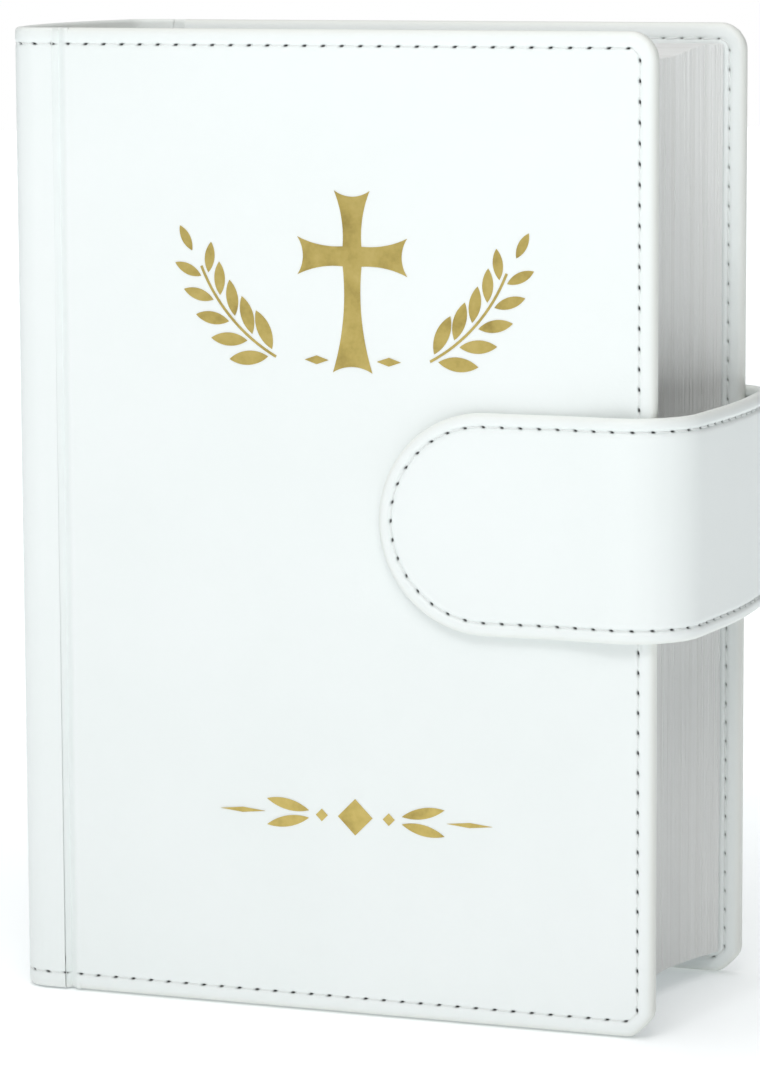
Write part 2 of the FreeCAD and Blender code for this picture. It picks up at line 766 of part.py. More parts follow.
def main():
    make_cover("front", -1)
    make_cover("back", 1)
    make_block()
    make_spine()
    make_strap()
    make_foil()
    doc.recompute()
    for item in doc.Objects:
        if "Invalid" in item.State or "Error" in item.State:
            raise RuntimeError(f"{item.Label} did not compute: {item.State}")
    for node in nodes:
        if node.Shape.isNull() or not node.Shape.isValid():
            raise RuntimeError(f"{node.Label} has no valid shape")
    os.makedirs("parts", exist_ok=True)
    for node in nodes:
        node.Shape.exportStep(f"parts/{node.Label}.step")
    whole = FreeCAD.BoundBox()
    for node in nodes:
        box = node.Shape.BoundBox
        whole.add(box)
        print(f"{node.Label:26s} solids {len(node.Shape.Solids):3d}  volume {node.Shape.Volume:10.2f}")
    print(f"whole book {whole.XLength:.2f} by {whole.YLength:.2f} by {whole.ZLength:.2f}")


main()
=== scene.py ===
"""A bible bound in white imitation leather, closed by a strap that goes round its fore edge.

Meshes are built in millimetres and stored in metres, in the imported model's own frame:
+X from the spine to the fore edge, -Y out of the front cover, +Z up from the tail to the head.
"""
import math
import random

import bmesh
import bpy
from mathutils import Matrix, Vector, noise


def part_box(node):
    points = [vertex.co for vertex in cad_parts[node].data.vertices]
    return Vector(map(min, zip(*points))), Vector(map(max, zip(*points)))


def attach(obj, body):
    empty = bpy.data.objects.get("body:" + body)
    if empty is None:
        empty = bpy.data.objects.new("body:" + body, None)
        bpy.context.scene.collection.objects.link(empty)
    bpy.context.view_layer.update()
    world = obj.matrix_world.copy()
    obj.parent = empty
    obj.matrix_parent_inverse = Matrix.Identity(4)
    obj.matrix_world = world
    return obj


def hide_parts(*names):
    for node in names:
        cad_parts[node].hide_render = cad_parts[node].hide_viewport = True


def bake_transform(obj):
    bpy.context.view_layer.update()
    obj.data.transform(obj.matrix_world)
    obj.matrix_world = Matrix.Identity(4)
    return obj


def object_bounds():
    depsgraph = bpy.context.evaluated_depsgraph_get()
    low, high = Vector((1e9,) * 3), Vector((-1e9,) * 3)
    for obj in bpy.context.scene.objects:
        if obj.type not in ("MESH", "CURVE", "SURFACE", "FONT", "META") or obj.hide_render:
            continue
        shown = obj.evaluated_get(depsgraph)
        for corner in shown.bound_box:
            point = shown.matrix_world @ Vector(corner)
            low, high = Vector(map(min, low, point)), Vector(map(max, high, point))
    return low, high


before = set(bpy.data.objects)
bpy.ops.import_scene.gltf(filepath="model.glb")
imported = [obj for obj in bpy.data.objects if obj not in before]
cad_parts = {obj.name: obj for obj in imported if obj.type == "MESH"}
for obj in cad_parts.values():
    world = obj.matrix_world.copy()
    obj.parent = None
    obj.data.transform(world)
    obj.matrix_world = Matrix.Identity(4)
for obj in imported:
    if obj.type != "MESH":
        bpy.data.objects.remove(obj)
CAD_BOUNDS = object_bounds()

MM = 0.001
random.seed(7)


def box_mm(node):
    """A CAD node's lowest and highest corners in millimetres."""
    low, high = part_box(node)
    return [v / MM for v in low], [v / MM for v in high]


# ---------------------------------------------------------------- sizes, in millimetres

COVER_LOW, COVER_HIGH = box_mm("back_leather")
SPINE_EDGE, FORE_EDGE = COVER_LOW[0], COVER_HIGH[0]
HEIGHT = COVER_HIGH[2]
FACE = COVER_HIGH[1]
COVER_THICK = COVER_HIGH[1] - COVER_LOW[1]
JOINT_X = box_mm("back_joint_leather")[0][0]
CORNER_RADIUS = 4.8
STITCH_PITCH = 3.4
SEAM_INSET = 2.8
TURN_IN = 6.0

GROOVE_DEPTH = 1.2
GROOVE_LEAN = 1.8
LAP = 0.06
HOLE_SLANT = 0.12
HOLE_HALF_WIDTH = 0.17
# painted shade in the needle holes: its strength, and its share on the inner faces
HOLE_SHADE_GAIN = 1.5
INNER_HOLE_SHADE_SHARE = 0.35
# painted shade along the rolled edges: how far in from the edge it reaches
EDGE_SHADE_WIDTH = 0.8
RELIEF_FADE = 1.2
SPINE_SKIN = 1.45
SPINE_ROLL = 0.7
SHOULDER_RADIUS = 5.0
SPINE_ROUND = 3.0
SHOULDER_X = -55.95

STRAP_LOW, STRAP_HIGH = box_mm("strap_middle_leather")
STRAP_Z = STRAP_LOW[2]
STRAP_WIDTH = STRAP_HIGH[2] - STRAP_LOW[2]
STRAP_PLY = 1.1
STRAP_SEAM_INSET = 2.3
STRAP_RISE = 0.2
STRAP_RISE_STARTS, STRAP_RISE_LENGTH = 12.0, 45.0
LINING_INSET = 3.9
LINING_RECESS = 0.32
LINING_THICK = 0.35

BLOCK_LOW, BLOCK_HIGH = box_mm("rear_section_06")
BLOCK_TAIL, BLOCK_HEAD = BLOCK_LOW[2], BLOCK_HIGH[2]
BLOCK_HALF = BLOCK_HIGH[1]
BLOCK_FORE_X = 53.6
BLOCK_FORE_HOLLOW = 5.1
BLOCK_SPINE_X = -57.6
BLOCK_SPINE_ROUND = 3.5
BLOCK_HEAD_DIP = 1.8
BLOCK_HEAD_RISE = 0.3
DIP_HALF_WIDTH, DIP_FADE = 6.0, 14.0

# where the stations of a seam lie between two needle holes, as parts of the pitch
STATION_PARTS = (0.0, 0.07, 0.14, 0.28, 0.5, 0.72, 0.86, 0.93)
STATIONS = len(STATION_PARTS)

# the rows of points near a seam, as distances from it
SEAM_ROWS = (-0.9, -0.6, -0.4, -0.25, -0.12, 0.0, 0.12, 0.25, 0.4, 0.65, 1.0, 1.5)

# a stitch's thread from one hole to the next: part of the pitch, and height
THREAD_DIP = (
    (0.11, -0.42), (0.16, -0.22), (0.26, -0.05), (0.5, 0.0), (0.77, -0.05), (0.87, -0.22), (0.92, -0.42))
THREAD_RADIUS = 0.15
THREAD_SLANT = 0.09
COVER_THREAD_LEVEL = 0.13
STRAP_THREAD_LEVEL = 0.29


# ---------------------------------------------------------------- materials

class Finish:
    """A material whose node tree is put together one node at a time."""

    def __init__(self, name, **sockets):
        self.material = bpy.data.materials.new(name)
        self.material.use_nodes = True
        self.tree = self.material.node_tree
        self.shader = self.tree.nodes["Principled BSDF"]
        for socket, value in sockets.items():
            self.shader.inputs[socket.replace("_", " ")].default_value = value
        self.place = self.node("ShaderNodeTexCoord").outputs["Object"]

    def node(self, kind, inputs=None, **settings):
        made = self.tree.nodes.new(kind)
        for setting, value in settings.items():
            setattr(made, setting, value)
        for socket, value in (inputs or {}).items():
            if isinstance(value, bpy.types.NodeSocket):
                self.tree.links.new(value, made.inputs[socket])
            else:
                made.inputs[socket].default_value = value
        return made

    def stretched(self, scale):
        """The place on the object, scaled differently along each axis."""
        return self.node("ShaderNodeMapping", {"Vector": self.place, "Scale": scale}).outputs["Vector"]

    def noise(self, scale, detail=3.0, roughness=0.5, vector=None):
        return self.node("ShaderNodeTexNoise", {
            "Vector": vector or self.place, "Scale": scale, "Detail": detail,
            "Roughness": roughness}).outputs["Fac"]

    def cells(self, scale):
        return self.node("ShaderNodeTexVoronoi", {"Vector": self.place, "Scale": scale}).outputs["Distance"]

    def waves(self, scale, direction, distortion=0.0):
        """Bands that follow each other along one direction of the object."""
        made = self.node("ShaderNodeTexWave", {
            "Vector": self.place, "Scale": scale, "Distortion": distortion}, bands_direction=direction)
        return made.outputs["Fac"]

    def ramp(self, value, stops):
        """Colours or greys at places from 0 to 1."""
        made = self.node("ShaderNodeValToRGB", {"Fac": value})
        elements = made.color_ramp.elements
        while len(elements) < len(stops):
            elements.new(0.5)
        for element, (position, colour) in zip(elements, stops):
            element.position = position
            element.color = colour if len(colour) == 4 else (*colour, 1.0)
        return made.outputs["Color"]

    def mix(self, share, first, second):
        made = self.node("ShaderNodeMix", data_type="RGBA")
        for index, value in ((0, share), (6, first), (7, second)):
            if isinstance(value, bpy.types.NodeSocket):
                self.tree.links.new(value, made.inputs[index])
            else:
                made.inputs[index].default_value = value
        return made.outputs[2]

    def blend_values(self, first, second, operation="ADD"):
        made = self.node("ShaderNodeMath", operation=operation)
        for index, value in enumerate((first, second)):
            if isinstance(value, bpy.types.NodeSocket):
                self.tree.links.new(value, made.inputs[index])
            else:
                made.inputs[index].default_value = value
        return made.outputs[0]

    def spread(self, value, low, high):
        """A 0 to 1 value moved to a new range."""
        return self.node("ShaderNodeMapRange", {
            "Value": value, "To Min": low, "To Max": high}).outputs["Result"]

    def mark(self, name):
        """A value from 0 to 1 that the mesh carries at each of its points."""
        return self.node("ShaderNodeAttribute", attribute_name=name).outputs["Fac"]

    def colour(self, value):
        self.tree.links.new(value, self.shader.inputs["Base Color"])

    def roughness(self, value):
        self.tree.links.new(value, self.shader.inputs["Roughness"])

    def bump(self, height, distance, strength=1.0):
        bumped = self.node("ShaderNodeBump", {
            "Height": height, "Distance": distance, "Strength": strength})
        self.tree.links.new(bumped.outputs["Normal"], self.shader.inputs["Normal"])


def leather_finish():
    """Smooth white imitation leather: fine grain, faint mottling, a greyer, warmer painted shade along the
    rolled edges and a dark painted shade inside the needle holes."""
    finish = Finish("white_leather", IOR=1.47, Coat_Weight=0.06, Coat_Roughness=0.35)
    mottle = finish.noise(28.0, 4.0, 0.55)
    white = finish.ramp(mottle, [(0.3, (0.865, 0.905, 0.893)), (0.7, (0.892, 0.926, 0.918))])
    # painted shade: the rolled edges are greyed and warmed as if in shadow
    edge_shade_colour = finish.mix(finish.mark("edge_shade"), white, (0.80, 0.815, 0.775, 1.0))
    # painted shade: the needle holes are darkened to near black as if shadowed inside
    finish.colour(finish.mix(finish.mark("needle"), edge_shade_colour, (0.012, 0.012, 0.013, 1.0)))
    finish.roughness(finish.spread(finish.noise(420.0, 2.0), 0.36, 0.52))
    grain = finish.blend_values(finish.cells(1500.0), finish.noise(2600.0, 3.0))
    unevenness = finish.spread(finish.noise(90.0, 2.0), 0.0, 1.2)
    finish.bump(finish.blend_values(grain, unevenness), 0.000018, 0.55)
    return finish.material


def lining_finish():
    """The strap's inner side: matt off-white cloth-backed leather with a fine weave."""
    finish = Finish("strap_lining_cloth")
    weave = finish.blend_values(finish.waves(900.0, "X"), finish.waves(900.0, "Z"), "MULTIPLY")
    finish.colour(finish.ramp(weave, [(0.0, (0.70, 0.71, 0.68)), (1.0, (0.82, 0.83, 0.80))]))
    finish.roughness(finish.spread(finish.noise(300.0), 0.72, 0.88))
    finish.bump(weave, 0.00004, 0.6)
    return finish.material


def thread_finish():
    """Twisted white polyester thread."""
    finish = Finish("white_thread", Sheen_Weight=0.25)
    twist = finish.waves(1400.0, "DIAGONAL", 1.0)
    finish.colour(finish.ramp(twist, [(0.0, (0.70, 0.72, 0.71)), (0.6, (0.86, 0.88, 0.87))]))
    finish.roughness(finish.spread(finish.noise(800.0), 0.45, 0.65))
    finish.bump(twist, 0.00003, 0.7)
    return finish.material


def page_finish():
    """The block of thin bible paper: fine lines of leaf edges, a little darker in places."""
    finish = Finish("bible_paper")
    leaves = finish.noise(1.0, 2.0, 0.6, finish.stretched((3.0, 4200.0, 5.0)))
    groups = finish.noise(1.0, 2.0, 0.5, finish.stretched((2.0, 480.0, 3.0)))
    tone = finish.blend_values(finish.spread(leaves, 0.0, 0.55), finish.spread(groups, 0.0, 0.45))
    finish.colour(finish.ramp(tone, [
        (0.25, (0.74, 0.74, 0.72)), (0.5, (0.825, 0.83, 0.82)), (0.75, (0.865, 0.87, 0.865))]))
    finish.roughness(finish.spread(leaves, 0.7, 0.92))
    finish.bump(leaves, 0.00004, 0.4)
    return finish.material


def endpaper_finish():
    """Heavier off-white paper with a felt-like surface and faint fibres."""
    finish = Finish("endpaper")
    fibres = finish.noise(1.0, 4.0, 0.6, finish.stretched((420.0, 900.0, 160.0)))
    finish.colour(finish.ramp(fibres, [(0.3, (0.80, 0.815, 0.81)), (0.7, (0.865, 0.875, 0.87))]))
    finish.roughness(finish.spread(finish.noise(600.0), 0.68, 0.85))
    finish.bump(fibres, 0.00002, 0.5)
    return finish.material


def gold_finish():
    """Hot-pressed gold foil: satin, finely pitted, darker where it thins out."""
    finish = Finish("gold_foil", Metallic=1.0)
    patches = finish.noise(260.0, 4.0, 0.6)
    finish.colour(finish.ramp(patches, [
        (0.25, (0.40, 0.300, 0.090)), (0.5, (0.57, 0.44, 0.140)), (0.8, (0.68, 0.54, 0.200))]))
    finish.roughness(finish.spread(finish.noise(900.0, 3.0), 0.30, 0.48))
    finish.bump(finish.noise(1500.0, 3.0), 0.00002, 0.5)
    return finish.material


def board_finish():
    """Grey binder's board: pressed fibres."""
    finish = Finish("greyboard")
    fibres = finish.noise(700.0, 5.0, 0.65)
    finish.colour(finish.ramp(fibres, [(0.3, (0.24, 0.24, 0.23)), (0.7, (0.36, 0.36, 0.34))]))
    finish.roughness(finish.spread(fibres, 0.8, 0.95))
    finish.bump(fibres, 0.00005, 0.6)
    return finish.material


def mull_finish():
    """Open starched gauze glued over the backs of the sections."""
    finish = Finish("mull_gauze")
    weave = finish.blend_values(finish.waves(350.0, "Y"), finish.waves(350.0, "Z"), "MAXIMUM")
    finish.colour(finish.ramp(weave, [(0.0, (0.45, 0.43, 0.38)), (0.8, (0.78, 0.76, 0.70))]))
    finish.roughness(finish.spread(weave, 0.75, 0.95))
    finish.bump(weave, 0.0001, 0.8)
    return finish.material


def band_finish():
    """Woven head band: white cord wrapped in alternating white and pale gold silk."""
    finish = Finish("head_band_silk", Sheen_Weight=0.3)
    finish.colour(finish.ramp(finish.waves(160.0, "Y"), [
        (0.35, (0.83, 0.83, 0.80)), (0.65, (0.66, 0.56, 0.33))]))
    finish.roughness(finish.spread(finish.noise(900.0), 0.4, 0.6))
    finish.bump(finish.noise(2200.0), 0.00003, 0.6)
    return finish.material


def steel_finish():
    """Bright zinc-plated steel with faint rolling marks."""
    finish = Finish("plated_steel", Metallic=1.0)
    marks = finish.noise(1.0, 3.0, 0.5, finish.stretched((60.0, 60.0, 1800.0)))
    finish.colour(finish.ramp(marks, [(0.3, (0.46, 0.47, 0.48)), (0.7, (0.60, 0.61, 0.62))]))
    finish.roughness(finish.spread(marks, 0.28, 0.42))
    finish.bump(marks, 0.00001, 0.5)
    return finish.material


def magnet_finish():
    """Flexible dark magnet sheet with a slightly mottled skin."""
    finish = Finish("magnet_sheet")
    mottle = finish.noise(500.0, 4.0, 0.6)
    finish.colour(finish.ramp(mottle, [(0.3, (0.030, 0.027, 0.025)), (0.7, (0.055, 0.050, 0.047))]))
    finish.roughness(finish.spread(mottle, 0.55, 0.75))
    finish.bump(mottle, 0.00003, 0.5)
    return finish.material


def floor_finish():
    """The plain pale surface that the book stands on. It glows as well, weaker near the book and stronger
    further out, and so lights the book from below.
    """
    finish = Finish("glowing_pale_floor", Roughness=0.9, Emission_Color=(0.9, 0.98, 1.0, 1.0))
    away = finish.node("ShaderNodeVectorMath", {0: finish.place}, operation="LENGTH").outputs["Value"]
    # painted light: the floor's glow, dimmer near the book and brighter away from it
    glow = finish.node("ShaderNodeMapRange", {
        "Value": away, "From Min": 0.08, "From Max": 0.3, "To Min": 0.22, "To Max": 0.52}).outputs["Result"]
    finish.tree.links.new(glow, finish.shader.inputs["Emission Strength"])
    finish.colour(finish.ramp(finish.noise(3.0), [(0.0, (0.90, 0.90, 0.90)), (1.0, (0.92, 0.92, 0.92))]))
    return finish.material


LEATHER = leather_finish()
LINING = lining_finish()
THREAD = thread_finish()
PAPER = page_finish()
ENDPAPER = endpaper_finish()
GOLD = gold_finish()
BOARD = board_finish()
MULL = mull_finish()
BAND = band_finish()
STEEL = steel_finish()
MAGNET = magnet_finish()


# ---------------------------------------------------------------- mesh building

class Builder:
    """Collects points and faces in millimetres, with the marks that the leather finish reads."""

    def __init__(self):
        self.points = []
        self.faces = []
        # marks read by the leather finish: painted shade in the needle holes and painted shade along the
        # rolled edges
        self.marks = {"needle": [], "edge_shade": []}

    def point(self, place, needle=0.0, edge_shade=0.0):
        self.points.append(place)
        self.marks["needle"].append(needle)
        self.marks["edge_shade"].append(edge_shade)
        return len(self.points) - 1

    def grid(self, rows, closed=False):
        """Faces between rows of point indices; closed joins the end of each row to its start."""
        for row, following in zip(rows, rows[1:]):
            count = len(row)
            for i in range(count if closed else count - 1):
                j = (i + 1) % count
                self.faces.append((row[i], row[j], following[j], following[i]))

    def tube(self, stations, sides=8):
        """A closed round thread through stations of (centre, across, out, radius)."""
        rows = []
        for centre, across, out, radius in stations:
            row = []
            for k in range(sides):
                angle = 2 * math.pi * k / sides
                row.append(self.point(centre + (across * math.cos(angle) + out * math.sin(angle)) * radius))
            rows.append(row)
        self.grid(rows, closed=True)
        self.faces.append(tuple(rows[0][::-1]))
        self.faces.append(tuple(rows[-1]))

    def piece(self, name, material, slot, sharp_degrees=38.0):
        """The finished object, smooth except where faces meet at a sharp angle."""
        mesh = bpy.data.meshes.new(name)
        mesh.from_pydata([tuple(p * MM) for p in self.points], [], self.faces)
        for mark, values in self.marks.items():
            if any(values):
                mesh.attributes.new(mark, "FLOAT", "POINT").data.foreach_set("value", values)
        work = bmesh.new()
        work.from_mesh(mesh)
        bmesh.ops.recalc_face_normals(work, faces=work.faces)
        work.to_mesh(mesh)
        work.free()
        mesh.shade_smooth()
        mesh.set_sharp_from_angle(angle=math.radians(sharp_degrees))
        mesh.materials.append(material)
        made = bpy.data.objects.new(name, mesh)
        bpy.context.scene.collection.objects.link(made)
        return made


class Path:
    """A smooth line in plan, made of straight runs and arcs that follow each other."""

    def __init__(self, start, heading):
        self.runs = []
        self.point = Vector((*start, 0.0))
        self.heading = heading
        self.length = 0.0

    def advance(self, length, turn=0.0):
        """Adds a run that turns by an angle, to the left if it is positive."""
        bend = turn / length
        self.runs.append((self.point, self.heading, length, bend))
        self.point = self.on_run(self.runs[-1], length)[0]
        self.heading += turn
        self.length += length
        return self

    @staticmethod
    def on_run(run, along):
        start, heading, _, bend = run
        facing = heading + bend * along
        if abs(bend) < 1e-9:
            return start + Vector((math.cos(heading), math.sin(heading), 0.0)) * along, facing
        swing = Vector((math.sin(facing) - math.sin(heading), math.cos(heading) - math.cos(facing), 0.0))
        return start + swing / bend, facing

    def at(self, along):
        """The point and the left-hand normal at a length along the path."""
        for run in self.runs:
            if along <= run[2] or run is self.runs[-1]:
                break
            along -= run[2]
        point, facing = self.on_run(run, along)
        return point, Vector((-math.sin(facing), math.cos(facing), 0.0))


def path_through(points, radii):
    """Straight runs between points, with an arc of the given radius at each inner one."""
    legs = [Vector(b) - Vector(a) for a, b in zip(points, points[1:])]
    headings = [math.atan2(leg.y, leg.x) for leg in legs]
    turns = [(b - a + math.pi) % (2 * math.pi) - math.pi for a, b in zip(headings, headings[1:])]
    reaches = [0.0] + [radius * math.tan(abs(turn) / 2) for radius, turn in zip(radii, turns)] + [0.0]
    path = Path(points[0], headings[0])
    for i, leg in enumerate(legs):
        path.advance(leg.length - reaches[i] - reaches[i + 1])
        if i < len(turns):
            path.advance(radii[i] * abs(turns[i]), turns[i])
    return path


class Border:
    """The stitched edge of a flat part, u along it and v across. The edge runs along v = 0, round
    the far end and back along v = width, or just along both sides when the far end is open."""

    def __init__(self, length, width, radius, seam_inset, open_end=False, flatten=0.0):
        self.length, self.width, self.radius = length, width, radius
        self.open_end, self.flatten = open_end, flatten
        straight = length if open_end else length - radius
        corner = 0.0 if open_end else (radius - seam_inset) * math.pi / 2
        end = 0.0 if open_end else width - 2 * radius
        self.legs = [self.count(straight), self.count(corner), self.count(end), self.count(corner),
                     self.count(straight)]

    @staticmethod
    def count(length):
        return 0 if length < 0.1 else max(1, round(length / STITCH_PITCH))

    @property
    def stitches(self):
        return sum(self.legs)

    def place(self, leg, part, inset):
        """The point at a part of a leg, at an inset from the edge."""
        if self.open_end:
            u = self.length * part
            return (u, inset) if leg == 0 else (self.length - u, self.width - inset)
        radius = max(self.radius - inset, 0.25)
        centre_u = self.length - inset - radius
        low, high = inset + radius, self.width - inset - radius
        if leg == 0:
            return centre_u * part, inset
        if leg == 4:
            return centre_u * (1 - part), self.width - inset
        if leg == 2:
            return self.length - inset, low + (high - low) * part
        angle = math.pi / 2 * part
        if leg == 1:
            pulled = radius * (1 - self.flatten * math.sin(2 * angle) ** 2)
            return centre_u + pulled * math.sin(angle), low - pulled * math.cos(angle)
        return centre_u + radius * math.cos(angle), high + radius * math.sin(angle)

    def stations(self):
        """Every station as (leg, part of the leg, place in pitches after the nearest hole)."""
        made = []
        last_leg = max(i for i, count in enumerate(self.legs) if count)
        for leg, count in enumerate(self.legs):
            for stitch in range(count):
                made += [(leg, (stitch + part) / count, part - round(part)) for part in STATION_PARTS]
        made.append((last_leg, 1.0, 0.0))
        return made

    def on_seam(self, stitch, part, inset):
        """The point between two holes, at a part of the way from the first."""
        for leg, count in enumerate(self.legs):
            if stitch < count:
                return self.place(leg, (stitch + part) / count, inset)
            stitch -= count
        return self.place(leg, 1.0, inset)


def bump_at(distance, reach):
    """1 at no distance, fading to 0 past the reach."""
    return math.exp(-(distance / reach) ** 2)


def smooth(value):
    """0 up to 0 and 1 from 1 on, level at both."""
    part = min(1.0, max(0.0, value))
    return part * part * (3 - 2 * part)


def edge_profile(roll, seam_inset, groove, ridge, pocket, last):
    """The section of one face, from the middle of the edge inwards, as (inset, height)."""
    rows = []
    for degrees in (8, 25, 42, 58, 74, 90):
        angle = math.radians(degrees)
        rows.append((roll * (1 - math.cos(angle)), -roll * (1 - math.sin(angle))))
    if seam_inset:
        for inset in [seam_inset + step for step in SEAM_ROWS]:
            if inset > roll + 0.05:
                rise = ridge * bump_at(inset - (seam_inset + roll) / 2, 0.55)
                rows.append((inset, rise - groove * bump_at(inset - seam_inset, 0.42)))
    if pocket:
        edge, floor = pocket
        rows += [(edge - 0.22, -0.01), (edge - 0.08, floor * 0.25), (edge, floor * 0.8), (edge + 0.12, floor)]
    if last:
        rows.append((last, rows[-1][1]))
    return rows


def stitched_skin(name, place, border, thickness, material, slot, roll, seam_inset=SEAM_INSET,
                  groove=0.14, ridge=0.05, hole=0.55, hole_reach=0.42, inner_pocket=None, relief=None,
                  coarse=4, rows=None, last=None, edge_shade_share=1.0):
    """A closed sheet with rolled edges. place(u, v, height) gives the point in space, where height is
    0 on the outer face and -thickness on the inner one. relief(u, v) raises the outer face, coarse
    thins out the middle's columns, and rows counts its points across where the end has none."""
    builder = Builder()
    stations = border.stations()
    lift = relief or (lambda u, v: 0.0)

    def ring(inset, height, outer, seam):
        made = []
        for leg, part, from_hole in stations:
            u, v = border.place(leg, part, inset)
            dimple = 0.0
            if seam and hole:
                after = from_hole * STITCH_PITCH
                beside = inset - seam - HOLE_SLANT * after
                dimple = bump_at(after, hole_reach) * bump_at(beside, HOLE_HALF_WIDTH)
            own = height - hole * dimple
            fade = min(1.0, inset / RELIEF_FADE)
            level = own + lift(u, v) * fade if outer else -thickness - own
            # painted shade in the needle hole, weaker on the inner face
            needle = min(1.0, dimple * HOLE_SHADE_GAIN) * (1.0 if outer else INNER_HOLE_SHADE_SHARE)
            # painted shade along the rolled edge, scaled for each piece
            made.append(builder.point(place(u, v, level), needle, edge_shade_share * bump_at(inset, EDGE_SHADE_WIDTH)))
        return made

    def face(outer, pocket):
        profile = edge_profile(roll, seam_inset, groove, ridge, pocket, last)
        rings = [ring(inset, height, outer, seam_inset) for inset, height in profile]
        builder.grid(rings)
        inset, height = profile[-1]
        level = height if outer else -thickness - height
        return rings, fill(rings[-1], inset, level, outer)

    def fill(rim_ring, inset, level, outer):
        """The middle of a face: a grid joined to the last ring by one strip of larger faces."""
        straight = border.legs[0] * STATIONS
        total = len(stations) - 1
        margin = inset + 1.6
        columns = [i for i in range(0, straight + 1, coarse)
                   if border.place(0, i / straight, inset)[0] <= border.length - margin or border.open_end]
        end_start = (border.legs[0] + border.legs[1]) * STATIONS
        end_stop = end_start + border.legs[2] * STATIONS
        follow_end = border.legs[2] > 0
        if follow_end:
            picked = [i for i in range(end_start, end_stop + 1, coarse)
                      if margin <= border.place(*stations[i][:2], inset)[1] <= border.width - margin]
            levels = [border.place(*stations[i][:2], inset)[1] for i in picked]
        else:
            levels = [margin + (border.width - 2 * margin) * i / (rows - 1) for i in range(rows)]
        mesh = []
        for i in columns:
            u = border.place(*stations[i][:2], inset)[0]
            mesh.append([builder.point(place(u, v, level + (lift(u, v) if outer else 0.0))) for v in levels])
        builder.grid(mesh)
        for (i, left), (j, right) in zip(zip(columns, mesh), zip(columns[1:], mesh[1:])):
            builder.faces.append((left[0], right[0], *rim_ring[i:j + 1][::-1]))
            builder.faces.append((right[-1], left[-1], *rim_ring[total - j:total - i + 1][::-1]))
        final, corner = mesh[-1], columns[-1]
        if follow_end:
            for (i, low), (j, high) in zip(zip(picked, final), zip(picked[1:], final[1:])):
                builder.faces.append((low, high, *rim_ring[i:j + 1][::-1]))
            builder.faces.append((final[0], *rim_ring[corner:picked[0] + 1]))
            builder.faces.append((final[-1], *rim_ring[picked[-1]:total - corner + 1]))
        elif not border.open_end:
            builder.faces.append((*final[::-1], *rim_ring[corner:total - corner + 1]))
        return mesh

    outer_rings, outer_mesh = face(True, None)
    inner_rings, inner_mesh = face(False, inner_pocket)
    builder.grid([outer_rings[0], inner_rings[0]])
    ends = [(0, outer_mesh[0], inner_mesh[0], -1)]
    if border.open_end:
        far = border.legs[0] * STATIONS
        ends.append((far, outer_mesh[-1], inner_mesh[-1], far))
    for start, outer_column, inner_column, stop in ends:
        outline = [r[start] for r in outer_rings] + list(outer_column) + [r[stop] for r in outer_rings[::-1]]
        outline += [r[stop] for r in inner_rings] + list(inner_column[::-1])
        outline += [r[start] for r in inner_rings[::-1]]
        builder.faces.append(tuple(outline))
    return builder.piece(name, material, slot)


def stitch_line(builder, place, border, inset, height, outward):
    """Thread from each needle hole to the next, dipping into both."""
    for stitch in range(border.stitches):
        slant = THREAD_SLANT + random.uniform(-0.03, 0.03)
        rise = random.uniform(-0.02, 0.02)
        centres = []
        for part, depth in THREAD_DIP:
            u, v = border.on_seam(stitch, part, inset + slant * (part - 0.5) * 2)
            centres.append(place(u, v, height + outward * (depth + rise)))
        u, v = border.on_seam(stitch, 0.5, inset)
        out = (place(u, v, height + outward) - place(u, v, height)).normalized()
        stations = []
        last = len(centres) - 1
        for i, centre in enumerate(centres):
            heading = (centres[min(i + 1, last)] - centres[max(i - 1, 0)]).normalized()
            across = heading.cross(out).normalized()
            radius = THREAD_RADIUS * (0.7 if i in (0, last) else 1.0)
            stations.append((centre, across, across.cross(heading), radius))
        builder.tube(stations)


# ---------------------------------------------------------------- covers

def leather_waves(x, z):
    """The slight unevenness of leather glued over a board."""
    return 0.03 * noise.noise(Vector((x * 0.045, z * 0.045, 1.7)))


def make_cover(side, name):
    """A board's leather with its turned-in edges, stitched all round, and the thread of both faces."""

    def place(u, v, height):
        return Vector((SPINE_EDGE + u, side * (FACE + height), v))

    border = Border(FORE_EDGE - SPINE_EDGE, HEIGHT, CORNER_RADIUS, SEAM_INSET, flatten=0.11)
    skin = stitched_skin(
        f"{name}_cover_skin", place, border, COVER_THICK, LEATHER, "cover_leather", roll=1.15,
        inner_pocket=(TURN_IN - 0.1, -0.4), relief=lambda u, v: leather_waves(u, v + 300 * side))
    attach(skin, f"{name}_cover")
    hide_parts(f"{name}_leather")
    threads = Builder()
    stitch_line(threads, place, border, SEAM_INSET, -COVER_THREAD_LEVEL, 1.0)
    stitch_line(threads, place, border, SEAM_INSET, COVER_THREAD_LEVEL - COVER_THICK, -1.0)
    thread = threads.piece(f"{name}_cover_thread", THREAD, "thread")
    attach(thread, f"{name}_cover")
    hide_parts(f"{name}_stitching")


def make_joint(side, name, block_body):
    """The French groove between a board and the spine."""
    width = SPINE_EDGE - JOINT_X

    def place(u, v, height):
        reach = u * (width + 2 * LAP) / width
        return Vector((SPINE_EDGE + LAP - reach, side * (FACE + height), v))

    def valley(u, v):
        """Flush at both sides, with a long slope from the board and a steep one at the spine."""
        part = min(1.0, max(0.0, u / width))
        return -GROOVE_DEPTH * math.sin(math.pi * part ** GROOVE_LEAN) ** 2

    def bent(u, v, height):
        return place(u, v, height + valley(u, v))

    border = Border(width, HEIGHT, 0.0, SEAM_INSET, open_end=True)
    skin = stitched_skin(
        f"{name}_joint_skin", bent, border, SPINE_SKIN, LEATHER, "cover_leather", roll=SPINE_ROLL,
        inner_pocket=(TURN_IN - 2.0, -0.7), coarse=1, rows=14, edge_shade_share=0.6)
    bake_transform(skin)
    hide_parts(f"{name}_joint_leather")


FOLD_Y, FOLD_SHIFT = 23.62, 0.72
FOLD_STEPS, FOLD_ROWS = 14, 16
FOLD_HALF_THICK = 0.1


